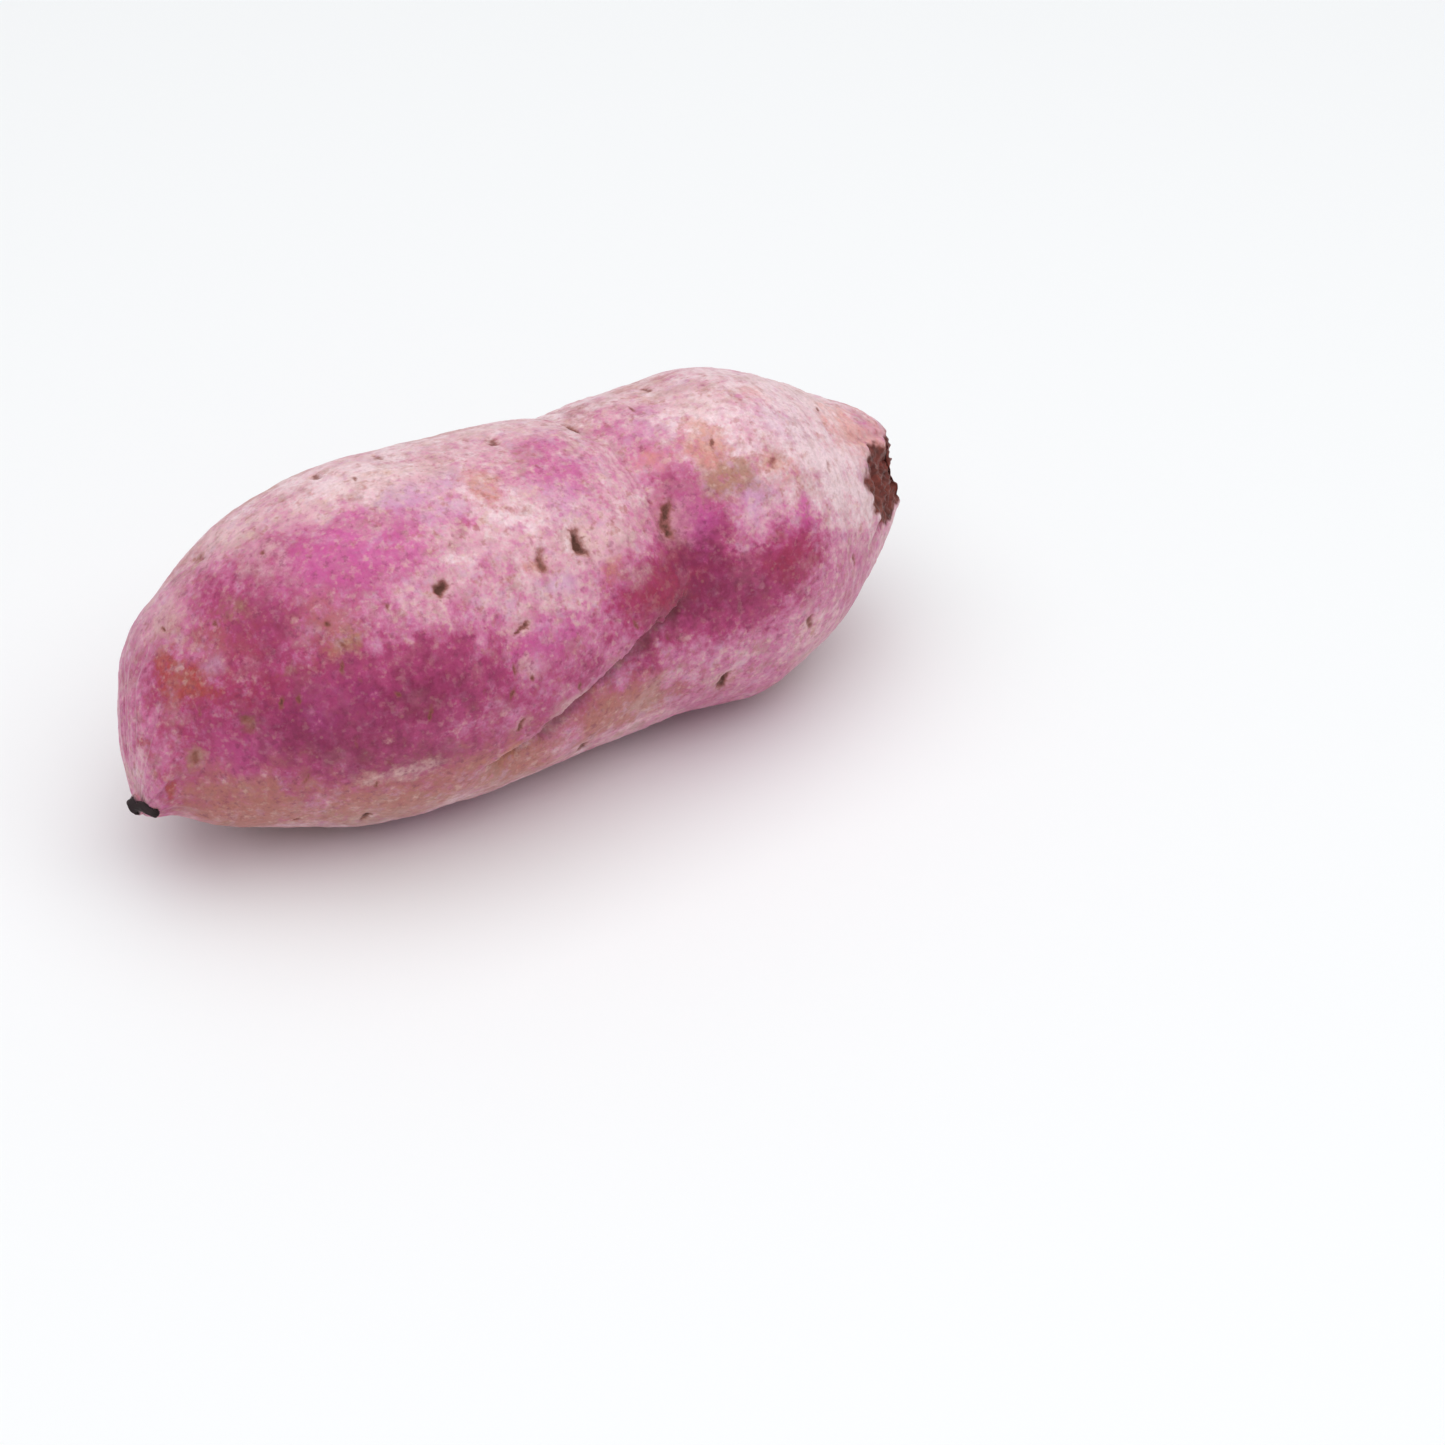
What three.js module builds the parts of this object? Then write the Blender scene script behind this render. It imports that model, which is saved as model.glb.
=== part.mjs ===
// A whole red-skinned sweet potato: one swollen storage root, lying on its side.
// Units are millimetres. +X runs from the tail tip to the stem scar, +Z is up, and -Y is its front flank.
// The body is a turned profile whose sections are made oval, moved along a bent course and then lumped,
// creased and pressed flat where the root rests.
import * as THREE from "three";

// Driving dimensions.
const LENGTH = 171; // tail tip to stem scar
const WIDTH = 72; // across the belly, at its widest
const HEIGHT = 69; // through the belly, before it is pressed flat
const WAIST_ACROSS = 65.5; // mean thickness of the narrow place between the two swellings
const SHOULDER_ACROSS = 66; // mean thickness of the second swelling, near the stem
const STEM_SCAR_ACROSS = 20; // broken end of the neck, where the root left the plant
const NECK_LENGTH = 42; // how far the stem end takes to narrow to the scar
const TAIL_ROUND_LENGTH = 61; // how far the blunt tail end takes to reach full thickness
const TAIL_STUB_ACROSS = 4.4; // dried root tip
const TAIL_STUB_LENGTH = 2.0;
const REST_DEPTH = 1.3; // how much of the underside is pressed flat

// How full the two ends are: under 1 is blunt, and over 1 is drawn out.
const TAIL_FULLNESS = 0.6;
const NECK_FULLNESS = 1.1;

// Where things lie along the root, as shares of its length from the tail.
const BELLY_AT = 0.36;
const WAIST_AT = 0.63;
const SHOULDER_AT = 0.78;

// The mesh.
const RINGS = 84;
const SEGMENTS = 48;
const SCAR_RINGS = 4;
const STUB_RINGS = 5;

// Course of the root: how far each section is moved sideways (towards -Y if negative), and how high its
// underside stands, both before it is pressed flat.
const COURSE = [
  { at: 0.0, side: -11.5, underside: 19.6 },
  { at: 0.02, side: -7.4, underside: 17.4 },
  { at: 0.05, side: -1.4, underside: 13.2 },
  { at: 0.12, side: 0.6, underside: 6.4 },
  { at: 0.25, side: -0.9, underside: 0.9 },
  { at: 0.36, side: -2.0, underside: 0.0 },
  { at: 0.5, side: -2.2, underside: 0.8 },
  { at: 0.63, side: -1.4, underside: 1.4 },
  { at: 0.76, side: 0.0, underside: 0.2 },
  { at: 0.88, side: 0.4, underside: 6.5 },
  { at: 1.0, side: 0.0, underside: 25.5 },
];

// Swellings and hollows: the place, how far across it reaches and how far it stands out (in if negative).
// around is in degrees from the top, 90 on the front flank, 180 underneath and 270 at the back.
const LUMPS = [
  { at: 0.2, around: 20, across: 26, rise: 1.0 },
  { at: 0.33, around: 75, across: 30, rise: 1.1 },
  { at: 0.44, around: 84, across: 26, rise: 1.0 },
  { at: 0.57, around: 108, across: 24, rise: -1.0 },
  { at: 0.3, around: 240, across: 30, rise: 1.2 },
  { at: 0.55, around: 300, across: 26, rise: 0.9 },
  { at: 0.79, around: 15, across: 28, rise: 1.7 },
  { at: 0.74, around: 130, across: 22, rise: 1.4 },
  { at: 0.8, around: 250, across: 24, rise: -1.4 },
  { at: 0.45, around: 215, across: 22, rise: -1.6 },
  { at: 0.14, around: 300, across: 20, rise: -1.2 },
  { at: 0.1, around: 75, across: 16, rise: -1.1 },
  { at: 0.42, around: 28, across: 14, rise: -0.9 },
  { at: 0.93, around: 345, across: 16, rise: -1.2 },
];

// Creases: a furrow from one place to another, with its width across and its depth in the middle.
const CREASES = [
  { from: { at: 0.6, around: -60 }, to: { at: 0.63, around: 15 }, across: 14, depth: 1.4 },
  { from: { at: 0.63, around: 15 }, to: { at: 0.655, around: 75 }, across: 14, depth: 2.4 },
  { from: { at: 0.655, around: 75 }, to: { at: 0.5, around: 93 }, across: 10, depth: 2.4 },
  { from: { at: 0.5, around: 93 }, to: { at: 0.4, around: 110 }, across: 10, depth: 1.9 },
  { from: { at: 0.62, around: 170 }, to: { at: 0.58, around: 260 }, across: 16, depth: 1.4 },
];

const radians = THREE.MathUtils.degToRad;

// A smooth curve through rows of numbers, each row standing at its own share of the length.
function curveThrough(rows, names) {
  const values = rows.flatMap((row) => names.map((name) => row[name]));
  const curve = new THREE.CubicInterpolant(rows.map((row) => row.at), values, names.length);
  return (at) => Array.from(curve.evaluate(THREE.MathUtils.clamp(at, 0, 1)));
}

const courseAt = curveThrough(COURSE, ["side", "underside"]);

// Mean radius of the body with its ends left full: belly, waist and shoulder.
const BELLY_RADIUS = (WIDTH + HEIGHT) / 4;
const fullRadiusAt = curveThrough(
  [
    { at: 0, radius: BELLY_RADIUS },
    { at: BELLY_AT, radius: BELLY_RADIUS },
    { at: WAIST_AT, radius: WAIST_ACROSS / 2 },
    { at: SHOULDER_AT, radius: SHOULDER_ACROSS / 2 },
    { at: 1, radius: SHOULDER_ACROSS / 2 },
  ],
  ["radius"],
);

// 0 at an end, rising to 1 once `distance` has covered `reach`, as the side of an oval does.
function rounded(distance, reach, fullness) {
  const left = 1 - THREE.MathUtils.clamp(distance / reach, 0, 1);
  return Math.pow(1 - left * left, fullness);
}

// Mean radius of the section at a distance from the tail tip.
function sectionRadius(x) {
  const full = fullRadiusAt(x / LENGTH)[0];
  const scar = STEM_SCAR_ACROSS / 2;
  const stub = TAIL_STUB_ACROSS / 2;
  const neck = rounded(LENGTH - x, NECK_LENGTH, NECK_FULLNESS);
  const tail = rounded(x - TAIL_STUB_LENGTH, TAIL_ROUND_LENGTH, TAIL_FULLNESS);
  return THREE.MathUtils.lerp(stub, THREE.MathUtils.lerp(scar, full, neck), tail);
}

// Profile points run from the tail tip, along the body and over the scar, to the axis again.
function profile() {
  const points = [];
  for (let i = 0; i < STUB_RINGS; i++) {
    const turn = (i / STUB_RINGS) * (Math.PI / 2);
    const reach = TAIL_STUB_LENGTH * (1 - Math.cos(turn));
    points.push(new THREE.Vector2((TAIL_STUB_ACROSS / 2) * Math.sin(turn), reach));
  }
  for (let i = 0; i <= RINGS; i++) {
    // Rings stand closer together towards both ends, where the radius changes fastest.
    const share = i / RINGS;
    const eased = THREE.MathUtils.lerp(share, (1 - Math.cos(Math.PI * share)) / 2, 0.75);
    const x = THREE.MathUtils.lerp(TAIL_STUB_LENGTH, LENGTH, eased);
    points.push(new THREE.Vector2(sectionRadius(x), x));
  }
  for (let i = SCAR_RINGS - 1; i >= 0; i--) {
    points.push(new THREE.Vector2((i / SCAR_RINGS) * (STEM_SCAR_ACROSS / 2), LENGTH));
  }
  return points;
}

// The nearest way round from one angle to another, in radians.
function turnBetween(a, b) {
  return Math.atan2(Math.sin(a - b), Math.cos(a - b));
}

// How far a place on the skin is raised by a lump.
function lumpRise(lump, x, around, radius) {
  const along = x - lump.at * LENGTH;
  const round = turnBetween(around, radians(lump.around)) * radius;
  const reach = lump.across / 2;
  return lump.rise * Math.exp(-(along * along + round * round) / (reach * reach));
}

// How far a place on the skin is lowered by a crease, measured from its centre line.
function creaseDrop(crease, x, around, radius) {
  const here = new THREE.Vector3(x, turnBetween(around, radians(crease.from.around)) * radius, 0);
  const turn = radians(crease.to.around - crease.from.around);
  const line = new THREE.Line3(
    new THREE.Vector3(crease.from.at * LENGTH, 0, 0),
    new THREE.Vector3(crease.to.at * LENGTH, turn * radius, 0),
  );
  const nearest = line.closestPointToPoint(here, true, new THREE.Vector3());
  const reach = crease.across / 2;
  return crease.depth * Math.exp(-nearest.distanceToSquared(here) / (reach * reach));
}

// Where a point of the turned profile ends up on the root.
function sculpted(x, around, radius) {
  // The ends keep the turned shape: lumps and creases fade in with the thickness of the body.
  const fade = THREE.MathUtils.smoothstep(radius, STEM_SCAR_ACROSS / 2, 0.6 * BELLY_RADIUS);
  let out = radius;
  for (const lump of LUMPS) out += fade * lumpRise(lump, x, around, radius);
  // Where two creases meet, the deeper one counts.
  out -= fade * Math.max(...CREASES.map((crease) => creaseDrop(crease, x, around, radius)));

  const oval = (WIDTH - HEIGHT) / (WIDTH + HEIGHT);
  const [side, underside] = courseAt(x / LENGTH);
  const middle = underside + sectionRadius(x) * (1 - oval);
  const across = out * (1 + oval) * Math.sin(around);
  const up = out * (1 - oval) * Math.cos(around);
  return new THREE.Vector3(x, side - across, middle + up);
}

function rootGeometry() {
  const geometry = new THREE.LatheGeometry(profile(), SEGMENTS);
  const position = geometry.getAttribute("position");
  for (let i = 0; i < position.count; i++) {
    const x = position.getY(i);
    const radius = Math.hypot(position.getX(i), position.getZ(i));
    const around = Math.atan2(position.getX(i), position.getZ(i));
    position.setXYZ(i, ...sculpted(x, around, radius));
  }
  setDown(geometry);
  return geometry;
}

// Puts the origin at the middle of the underside, and presses what would reach below it flat.
function setDown(geometry) {
  geometry.computeBoundingBox();
  const { min, max } = geometry.boundingBox;
  geometry.translate(-(min.x + max.x) / 2, -(min.y + max.y) / 2, -min.z - REST_DEPTH);
  const position = geometry.getAttribute("position");
  for (let i = 0; i < position.count; i++) {
    position.setZ(i, Math.max(position.getZ(i), 0));
  }
  geometry.computeVertexNormals();
}

const skin = new THREE.MeshStandardMaterial({ color: 0xb56a88, roughness: 0.55, metalness: 0 });

const root = new THREE.Mesh(rootGeometry(), skin);
root.name = "sweet_potato";

const sweetPotato = new THREE.Group();
sweetPotato.add(root);

export default sweetPotato;
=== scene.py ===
# A whole red-skinned sweet potato, lying on a pale table under a broad soft light.
# The root is in millimetres until it is handed to Blender, which works in metres. The table, the camera and
# the light are placed in metres.
import math

import bpy
import numpy as np
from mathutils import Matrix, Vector


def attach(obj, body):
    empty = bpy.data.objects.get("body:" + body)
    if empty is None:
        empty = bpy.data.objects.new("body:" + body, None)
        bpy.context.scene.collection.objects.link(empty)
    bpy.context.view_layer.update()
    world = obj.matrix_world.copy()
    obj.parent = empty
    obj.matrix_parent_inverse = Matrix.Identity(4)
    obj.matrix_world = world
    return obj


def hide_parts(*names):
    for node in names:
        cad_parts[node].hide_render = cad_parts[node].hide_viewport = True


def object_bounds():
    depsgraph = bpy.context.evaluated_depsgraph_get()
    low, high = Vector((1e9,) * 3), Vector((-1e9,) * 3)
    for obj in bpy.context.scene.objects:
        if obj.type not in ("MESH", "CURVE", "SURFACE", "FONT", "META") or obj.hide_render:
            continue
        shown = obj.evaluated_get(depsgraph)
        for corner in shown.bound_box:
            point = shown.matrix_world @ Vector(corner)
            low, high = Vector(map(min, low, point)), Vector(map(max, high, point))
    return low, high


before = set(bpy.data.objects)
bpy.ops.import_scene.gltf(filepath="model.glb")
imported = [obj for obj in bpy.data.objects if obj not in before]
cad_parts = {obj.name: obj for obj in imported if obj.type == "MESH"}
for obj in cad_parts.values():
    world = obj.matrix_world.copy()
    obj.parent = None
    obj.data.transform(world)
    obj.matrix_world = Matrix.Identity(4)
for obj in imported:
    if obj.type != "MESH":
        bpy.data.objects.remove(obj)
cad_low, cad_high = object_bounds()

MM = 0.001
LENGTH = (cad_high.x - cad_low.x) / MM
WIDTH = (cad_high.y - cad_low.y) / MM
HEIGHT = (cad_high.z - cad_low.z) / MM

# The fine surface: one row of points for each step along the root, one column for each step around it.
FRAME_COLUMNS = 48  # points in each of the frame's own rings
FINE_COLUMNS = 576
ROW_STEP = 0.39
RING_SLACK = 0.002  # points this close to each other along the root belong to one ring
SEAM_COLUMNS = 3  # columns borrowed from across the seam, so that the curve runs on over it

NOISE_GAIN = 1.7  # brings the noise to about 1 either way
NOISE_START = 100  # how many cells into its pattern the noise starts

# The noise that makes the edges of marks ragged: cell size and strength, from coarse to fine.
WOBBLE = [(4.0, 1.0), (1.6, 0.5), (0.8, 0.35)]
WOBBLE_SEEDS = (11, 14)  # one for the push along, one for the push around

EVERYWHERE = slice(None)


# ---------------------------------------------------------------- the fine surface


def frame_rows(node):
    """The frame's rings from tail tip to stem scar, each with its points in order from underneath, round
    by the back and over the top to underneath again. The two tips are rings of one repeated point."""
    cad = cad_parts[node].data
    points = np.array([vertex.co for vertex in cad.vertices]) / MM
    points = np.unique(points.round(4), axis=0)
    stations = np.unique(points[:, 0].round(3))
    rings = []
    for x in stations:
        ring = points[np.abs(points[:, 0] - x) < RING_SLACK]
        if len(ring) == FRAME_COLUMNS:
            rings.append(ordered(ring))
        elif len(ring) == 1:
            rings.append(np.repeat(ring, FRAME_COLUMNS, axis=0))
        else:
            rings.extend(scar_rings(ring))
    return np.array(rings)


def scar_rings(face):
    """The rings of the flat scar, from its rim to its middle."""
    middle = face.mean(axis=0)
    outward = np.argsort(-np.hypot(*(face - middle)[:, 1:].T))
    face = face[outward]
    rings = [ordered(face[i : i + FRAME_COLUMNS]) for i in range(0, len(face) - 1, FRAME_COLUMNS)]
    rings.append(np.repeat(face[-1:], FRAME_COLUMNS, axis=0))
    return rings


def ordered(ring):
    """A ring's points by their angle round it, the first one underneath."""
    y, z = (ring - ring.mean(axis=0))[:, 1:].T
    angles = np.degrees(np.arctan2(-y, z))
    order = np.argsort(angles)
    even = -180 + 360 * np.arange(FRAME_COLUMNS) / FRAME_COLUMNS
    slip = round(np.mean(angles[order] - even) * FRAME_COLUMNS / 360)
    return ring[np.roll(order, slip)]


def drawn_out(rows, stations, wanted):
    """Rows drawn out to more rows, by smooth cubic pieces that pass through every one of them."""
    slopes = np.gradient(rows, stations, axis=0)
    after = np.clip(np.searchsorted(stations, wanted, side="right"), 1, len(stations) - 1)
    before = after - 1
    gap = (stations[after] - stations[before])[:, None, None]
    t = (wanted - stations[before])[:, None, None] / gap
    from_before = (2 * t**3 - 3 * t**2 + 1) * rows[before] + (t**3 - 2 * t**2 + t) * gap * slopes[before]
    from_after = (3 * t**2 - 2 * t**3) * rows[after] + (t**3 - t**2) * gap * slopes[after]
    return from_before + from_after


def fine_rows(rings):
    """The frame's rings made many times finer both ways."""
    steps = np.linalg.norm(np.diff(rings, axis=0), axis=2).mean(axis=1)
    stations = np.concatenate([[0], np.cumsum(steps)])
    row_count = round(stations[-1] / ROW_STEP)
    rows = drawn_out(rings, stations, np.linspace(0, stations[-1], row_count + 1))
    wrapped = np.concatenate([rows[:, -SEAM_COLUMNS:], rows, rows[:, : SEAM_COLUMNS + 1]], axis=1)
    angles = np.arange(-SEAM_COLUMNS, FRAME_COLUMNS + SEAM_COLUMNS + 1) / FRAME_COLUMNS
    columns = drawn_out(wrapped.swapaxes(0, 1), angles, np.arange(FINE_COLUMNS) / FINE_COLUMNS)
    return columns.swapaxes(0, 1)


def unit(vectors):
    return vectors / np.maximum(np.linalg.norm(vectors, axis=-1, keepdims=True), 1e-9)


def noise(points, size, seed):
    """Smooth noise from about -1 to 1, made in cells `size` across. size may be one number, or three for
    lumps drawn out along an axis."""
    chance = np.random.default_rng(seed)
    shuffled = chance.permutation(256)
    slopes = unit(chance.normal(size=(256, 3)))
    place = points / np.array(size) + NOISE_START
    cell = np.floor(place).astype(int)
    inside = place - cell
    ease = inside**3 * (inside * (inside * 6 - 15) + 10)
    total = np.zeros(points.shape[:-1])
    for corner in np.ndindex(2, 2, 2):
        x, y, z = np.moveaxis((cell + corner) % 256, -1, 0)
        pick = shuffled[(shuffled[(shuffled[x] + y) % 256] + z) % 256]
        share = np.prod(np.where(corner, ease, 1 - ease), axis=-1)
        total += share * np.sum(slopes[pick] * (inside - corner), axis=-1)
    return NOISE_GAIN * total


def risen(value, low, high):
    """0 below low, 1 above high, and a smooth step between them."""
    t = np.clip((value - low) / (high - low), 0, 1)
    return t * t * (3 - 2 * t)


def bell(value, width):
    """1 where the value is 0, falling away smoothly on both sides."""
    return np.exp(-((value / width) ** 2))


class Skin:
    """The fine surface, and what is marked on it. `share` is how far along the root each point is, from 0
    at the tail to 1 at the stem, and `turn` is its angle: 0 on top, 90 in front, 180 underneath."""

    def __init__(self, point):
        self.point = point
        along = unit(np.gradient(point, axis=0))
        around = unit(np.roll(point, -1, axis=1) - np.roll(point, 1, axis=1))
        self.out = unit(np.cross(around, along))
        self.share = (point[..., 0] - point[..., 0].min()) / np.ptp(point[..., 0])
        self.turn = np.broadcast_to(-180 + 360 * np.arange(FINE_COLUMNS) / FINE_COLUMNS, self.share.shape)
        middle = point.mean(axis=1, keepdims=True)
        self.radius = np.linalg.norm((point - middle)[..., 1:], axis=-1).mean(axis=1, keepdims=True)
        self.height = np.zeros(self.share.shape)
        self.marks = {}
        self.wobble = [
            sum(strength * noise(point, size, seed + i) for i, (size, strength) in enumerate(WOBBLE))
            for seed in WOBBLE_SEEDS
        ]

    def row_at(self, at):
        """The row that lies a share of the way along the root."""
        return int(np.argmin(np.abs(self.share.mean(axis=1) - at)))

    def near(self, at, turn, reach, slant=0.0, ragged=0.0):
        """The rows within reach of a place, with each point's distance from it along and around. Those two
        directions can be turned by a slant in degrees, and the distances made ragged by some mm."""
        row = self.row_at(at)
        margin = int(reach / ROW_STEP) + 1
        rows = slice(max(row - margin, 0), row + margin + 1)
        turned = np.radians((self.turn[rows] - turn + 180) % 360 - 180)
        u = (np.arange(len(self.point))[rows, None] - row) * ROW_STEP
        w = turned * self.radius[rows]
        if ragged:
            u = u + ragged * self.wobble[0][rows]
            w = w + ragged * self.wobble[1][rows]
        lean = math.radians(slant)
        return rows, u * math.cos(lean) + w * math.sin(lean), w * math.cos(lean) - u * math.sin(lean)

    def mark(self, name, rows, amount):
        """Marks the rows with some cork, film or the like, unless there is more of it there already."""
        layer = self.marks.setdefault(name, np.zeros(self.share.shape))
        layer[rows] = np.maximum(layer[rows], amount)

    def moved(self):
        """The surface with its relief raised, and nothing below the table."""
        point = self.point + self.out * self.height[..., None]
        point[..., 2] = np.maximum(point[..., 2], 0)
        return point


# ---------------------------------------------------------------- relief

# Unevenness all over, from slow swells to fine pebbling: height, cell size and seed.
UNEVENNESS = [(0.45, 17.0, 21), (0.2, 7.0, 22), (0.08, 3.0, 23), (0.035, 1.2, 24)]

# Where the growth wrinkles gather, at the waist and the neck: how far along, and how strongly.
WRINKLED = [(0.63, 1.0), (0.9, 0.8)]
WRINKLED_SPREAD = 0.06
WRINKLE_HEIGHT = 0.045
WRINKLE_HEIGHT_GATHERED = 0.14
# The wrinkles' noise: cell size along, across and up, strength and seed.
WRINKLES = [((1.3, 9.0, 9.0), 1.0, 25), ((0.7, 6.0, 6.0), 0.6, 26)]

# Ribs at the two ends: how many go round, how strongly and from what angle in radians.
RIBS = [(11, 1.0, 0.0), (19, 0.6, 1.0), (31, 0.5, 2.0)]
STEM_RIB_HEIGHT = 0.26
TAIL_RIB_HEIGHT = 0.2

# Eyes: the scars of side roots, as short slits across the root in a shallow dimple.
# Each is: how far along, angle round, half length, half thickness, depth, slant, darkness.
EYES = [
    (0.352, 41, 1.9, 1.3, 1.0, 62, 1.0),
    (0.47, 42, 2.6, 1.2, 0.6, 8, 0.6),
    (0.522, 40, 2.6, 1.1, 1.2, -6, 1.0),
    (0.643, 41, 4.0, 0.9, 0.9, 14, 0.85),
    (0.42, 60, 1.9, 0.5, 0.5, 60, 0.9),
    (0.125, 65, 2.0, 1.5, 0.8, 10, 0.45),
    (0.07, 75, 1.4, 1.1, 0.35, 0, 0.5),
    (0.605, -12, 2.8, 1.0, 0.7, 0, 0.8),
    (0.505, -11, 1.7, 0.9, 0.5, 5, 0.7),
    (0.155, -24, 2.4, 0.8, 0.6, 0, 0.6),
    (0.305, -21, 1.7, 0.9, 0.5, 20, 0.6),
    (0.38, -23, 2.0, 0.7, 0.5, 0, 0.6),
    (0.72, -20, 1.9, 0.8, 0.5, 0, 0.6),
    (0.785, 36, 1.5, 0.9, 0.4, 30, 0.5),
    (0.4, 92, 1.6, 0.6, 0.4, 15, 0.8),
    (0.2, -70, 2.4, 0.9, 0.8, 6, 0.9),
    (0.33, -92, 2.6, 0.8, 0.9, -5, 0.9),
    (0.47, -78, 2.2, 1.1, 0.7, 24, 0.8),
    (0.6, -98, 3.0, 0.8, 0.9, 0, 0.9),
    (0.74, -72, 2.3, 1.0, 0.8, -8, 0.9),
    (0.86, -95, 1.8, 0.7, 0.6, 5, 0.7),
    (0.27, -140, 2.1, 0.8, 0.7, 0, 0.8),
    (0.42, -152, 1.9, 0.9, 0.5, 40, 0.7),
    (0.56, -136, 2.5, 0.8, 0.8, -4, 0.9),
    (0.7, -146, 2.0, 0.9, 0.7, 12, 0.8),
    (0.84, -150, 1.7, 0.7, 0.5, 0, 0.7),
    (0.15, -118, 1.9, 1.0, 0.6, 30, 0.8),
    (0.24, 128, 2.0, 0.8, 0.6, 0, 0.8),
    (0.36, 146, 1.9, 0.8, 0.6, -26, 0.8),
    (0.5, 124, 2.2, 0.9, 0.7, 5, 0.8),
    (0.68, 112, 2.4, 0.8, 0.8, 0, 0.9),
    (0.79, 98, 1.9, 0.9, 0.6, -8, 0.8),
    (0.87, 84, 1.5, 0.7, 0.5, 0, 0.6),
    (0.61, 164, 2.3, 0.8, 0.7, 0, 0.8),
    (0.17, 168, 1.8, 0.7, 0.5, 15, 0.7),
]
EYE_RAGGED = 0.8

# Nicks: small brown marks of broken hair roots. These are placed, and more are scattered all round.
NICKS = [
    (0.13, 18), (0.225, 40), (0.232, 48), (0.225, 55), (0.16, 60), (0.175, 61), (0.27, 68), (0.3, 77),
    (0.42, 76), (0.4, 72), (0.395, 79), (0.165, 123), (0.09, -3), (0.33, -8), (0.29, 42), (0.56, 72),
    (0.48, 86), (0.24, 102), (0.73, 21), (0.86, 42), (0.9, 10), (0.68, -8), (0.2, 5), (0.17, 95),
]
NICKS_SCATTERED = 120
NICKS_BETWEEN = (0.04, 0.95)  # how far along the scattered ones lie
NICK_STRENGTHS = (0.25, 0.6)
NICK_LENGTHS = (0.7, 1.5)
NICK_SLANTS = (-35, 35)
NICK_RAGGED = 0.45
NICK_SEED = 41

# Furrows: places along each one, with its half width, depth and how far its upper lip stands out.
FURROWS = [
    ([(0.645, 68), (0.61, 76), (0.55, 86), (0.47, 97), (0.4, 108), (0.36, 113)], 1.8, 1.5, 0.6),
    ([(0.6, -45), (0.61, -15), (0.632, 10), (0.648, 38), (0.655, 66)], 3.4, 0.5, 0.2),
    ([(0.5, -118), (0.57, -108), (0.63, -96), (0.65, -70)], 1.6, 1.0, 0.4),
]
FURROW_RAGGED = 1.6
FURROW_STEPS = 16  # how many times a furrow is pressed in between two of its places


def broad_relief(skin):
    """Slow unevenness, growth wrinkles across the root with painted shade in their valleys, and the fine
    pebbling of its skin.
    """
    body = risen(skin.share, 0.0, 0.06) * (1 - risen(skin.share, 0.985, 1.0))
    for height, size, seed in UNEVENNESS:
        skin.height += body * height * noise(skin.point, size, seed)
    # Wrinkles are narrow along the root and long around it.
    gathered = sum(strength * bell(skin.share - at, WRINKLED_SPREAD) for at, strength in WRINKLED)
    across = sum(strength * noise(skin.point, size, seed) for size, strength, seed in WRINKLES)
    skin.height += body * (WRINKLE_HEIGHT + WRINKLE_HEIGHT_GATHERED * gathered) * across
    # painted shade: the wrinkles' valleys are marked to be coloured darker
    skin.mark("hollow_shade", EVERYWHERE, body * np.clip(-across, 0, 1) * (0.25 + 0.6 * gathered))


def end_ribs(skin):
    """Lengthwise ribs where the skin is drawn in towards the tail and the neck, with painted shade between
    them.
    """
    stem = risen(skin.share, 0.84, 0.97) * (1 - risen(skin.share, 0.99, 1.0))
    tail = (1 - risen(skin.share, 0.03, 0.1)) * risen(skin.share, 0.012, 0.03)
    bent = np.radians(skin.turn) + 0.14 * noise(skin.point, 9.0, 31)
    ribs = sum(strength * np.sin(count * bent + start) for count, strength, start in RIBS)
    skin.height += (STEM_RIB_HEIGHT * stem + TAIL_RIB_HEIGHT * tail) * ribs
    # painted shade: the valleys between the ribs are marked to be coloured darker
    skin.mark("hollow_shade", EVERYWHERE, np.clip(-ribs, 0, 1) * 0.5 * (stem + tail))


def eyes(skin):
    """Each eye is a curved slit in a shallow bed, with a brow on its stem side, a lid on its tail side and a
    broken root stub in it. Its cork crumbles away into the pale halo around it."""
    for at, turn, long, thick, deep, slant, dark in EYES:
        rows, u, w = skin.near(at, turn, 5 * long, slant, EYE_RAGGED)
        curved = u - 0.12 * w**2 / long
        bed = bell(u, 1.1 + 1.1 * long) * bell(w, 1.2 + 1.3 * long)
        slit = bell(curved, 0.75 * thick) * np.exp(-((w / long) ** 4))
        brow = bell(curved - 1.8 * thick, 0.9 * thick) * bell(w, 1.3 * long)
        lid = bell(curved + 1.8 * thick, 0.9 * thick) * bell(w, 1.1 * long)
        stub = bell(curved, 0.4) * bell(w - 0.3 * long, 0.6)
        skin.height[rows] += deep * (-0.7 * bed - 0.75 * slit + 0.26 * brow + 0.15 * lid + 0.5 * stub)
        cork = bell(curved, thick) * np.exp(-((w / (1.1 * long)) ** 4))
        skin.mark("cork", rows, dark * np.clip(1.15 * cork, 0, 1))
        halo = bell(u, 1.2 * long + thick) * bell(w, 1.9 * long)
        skin.mark("halo", rows, 0.85 * dark * halo)
        crumbs = risen(noise(skin.point[rows], (0.7, 0.9, 0.9), 43), 0.3, 0.6)
        skin.mark("cork", rows, 0.6 * dark * halo * crumbs)


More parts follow.
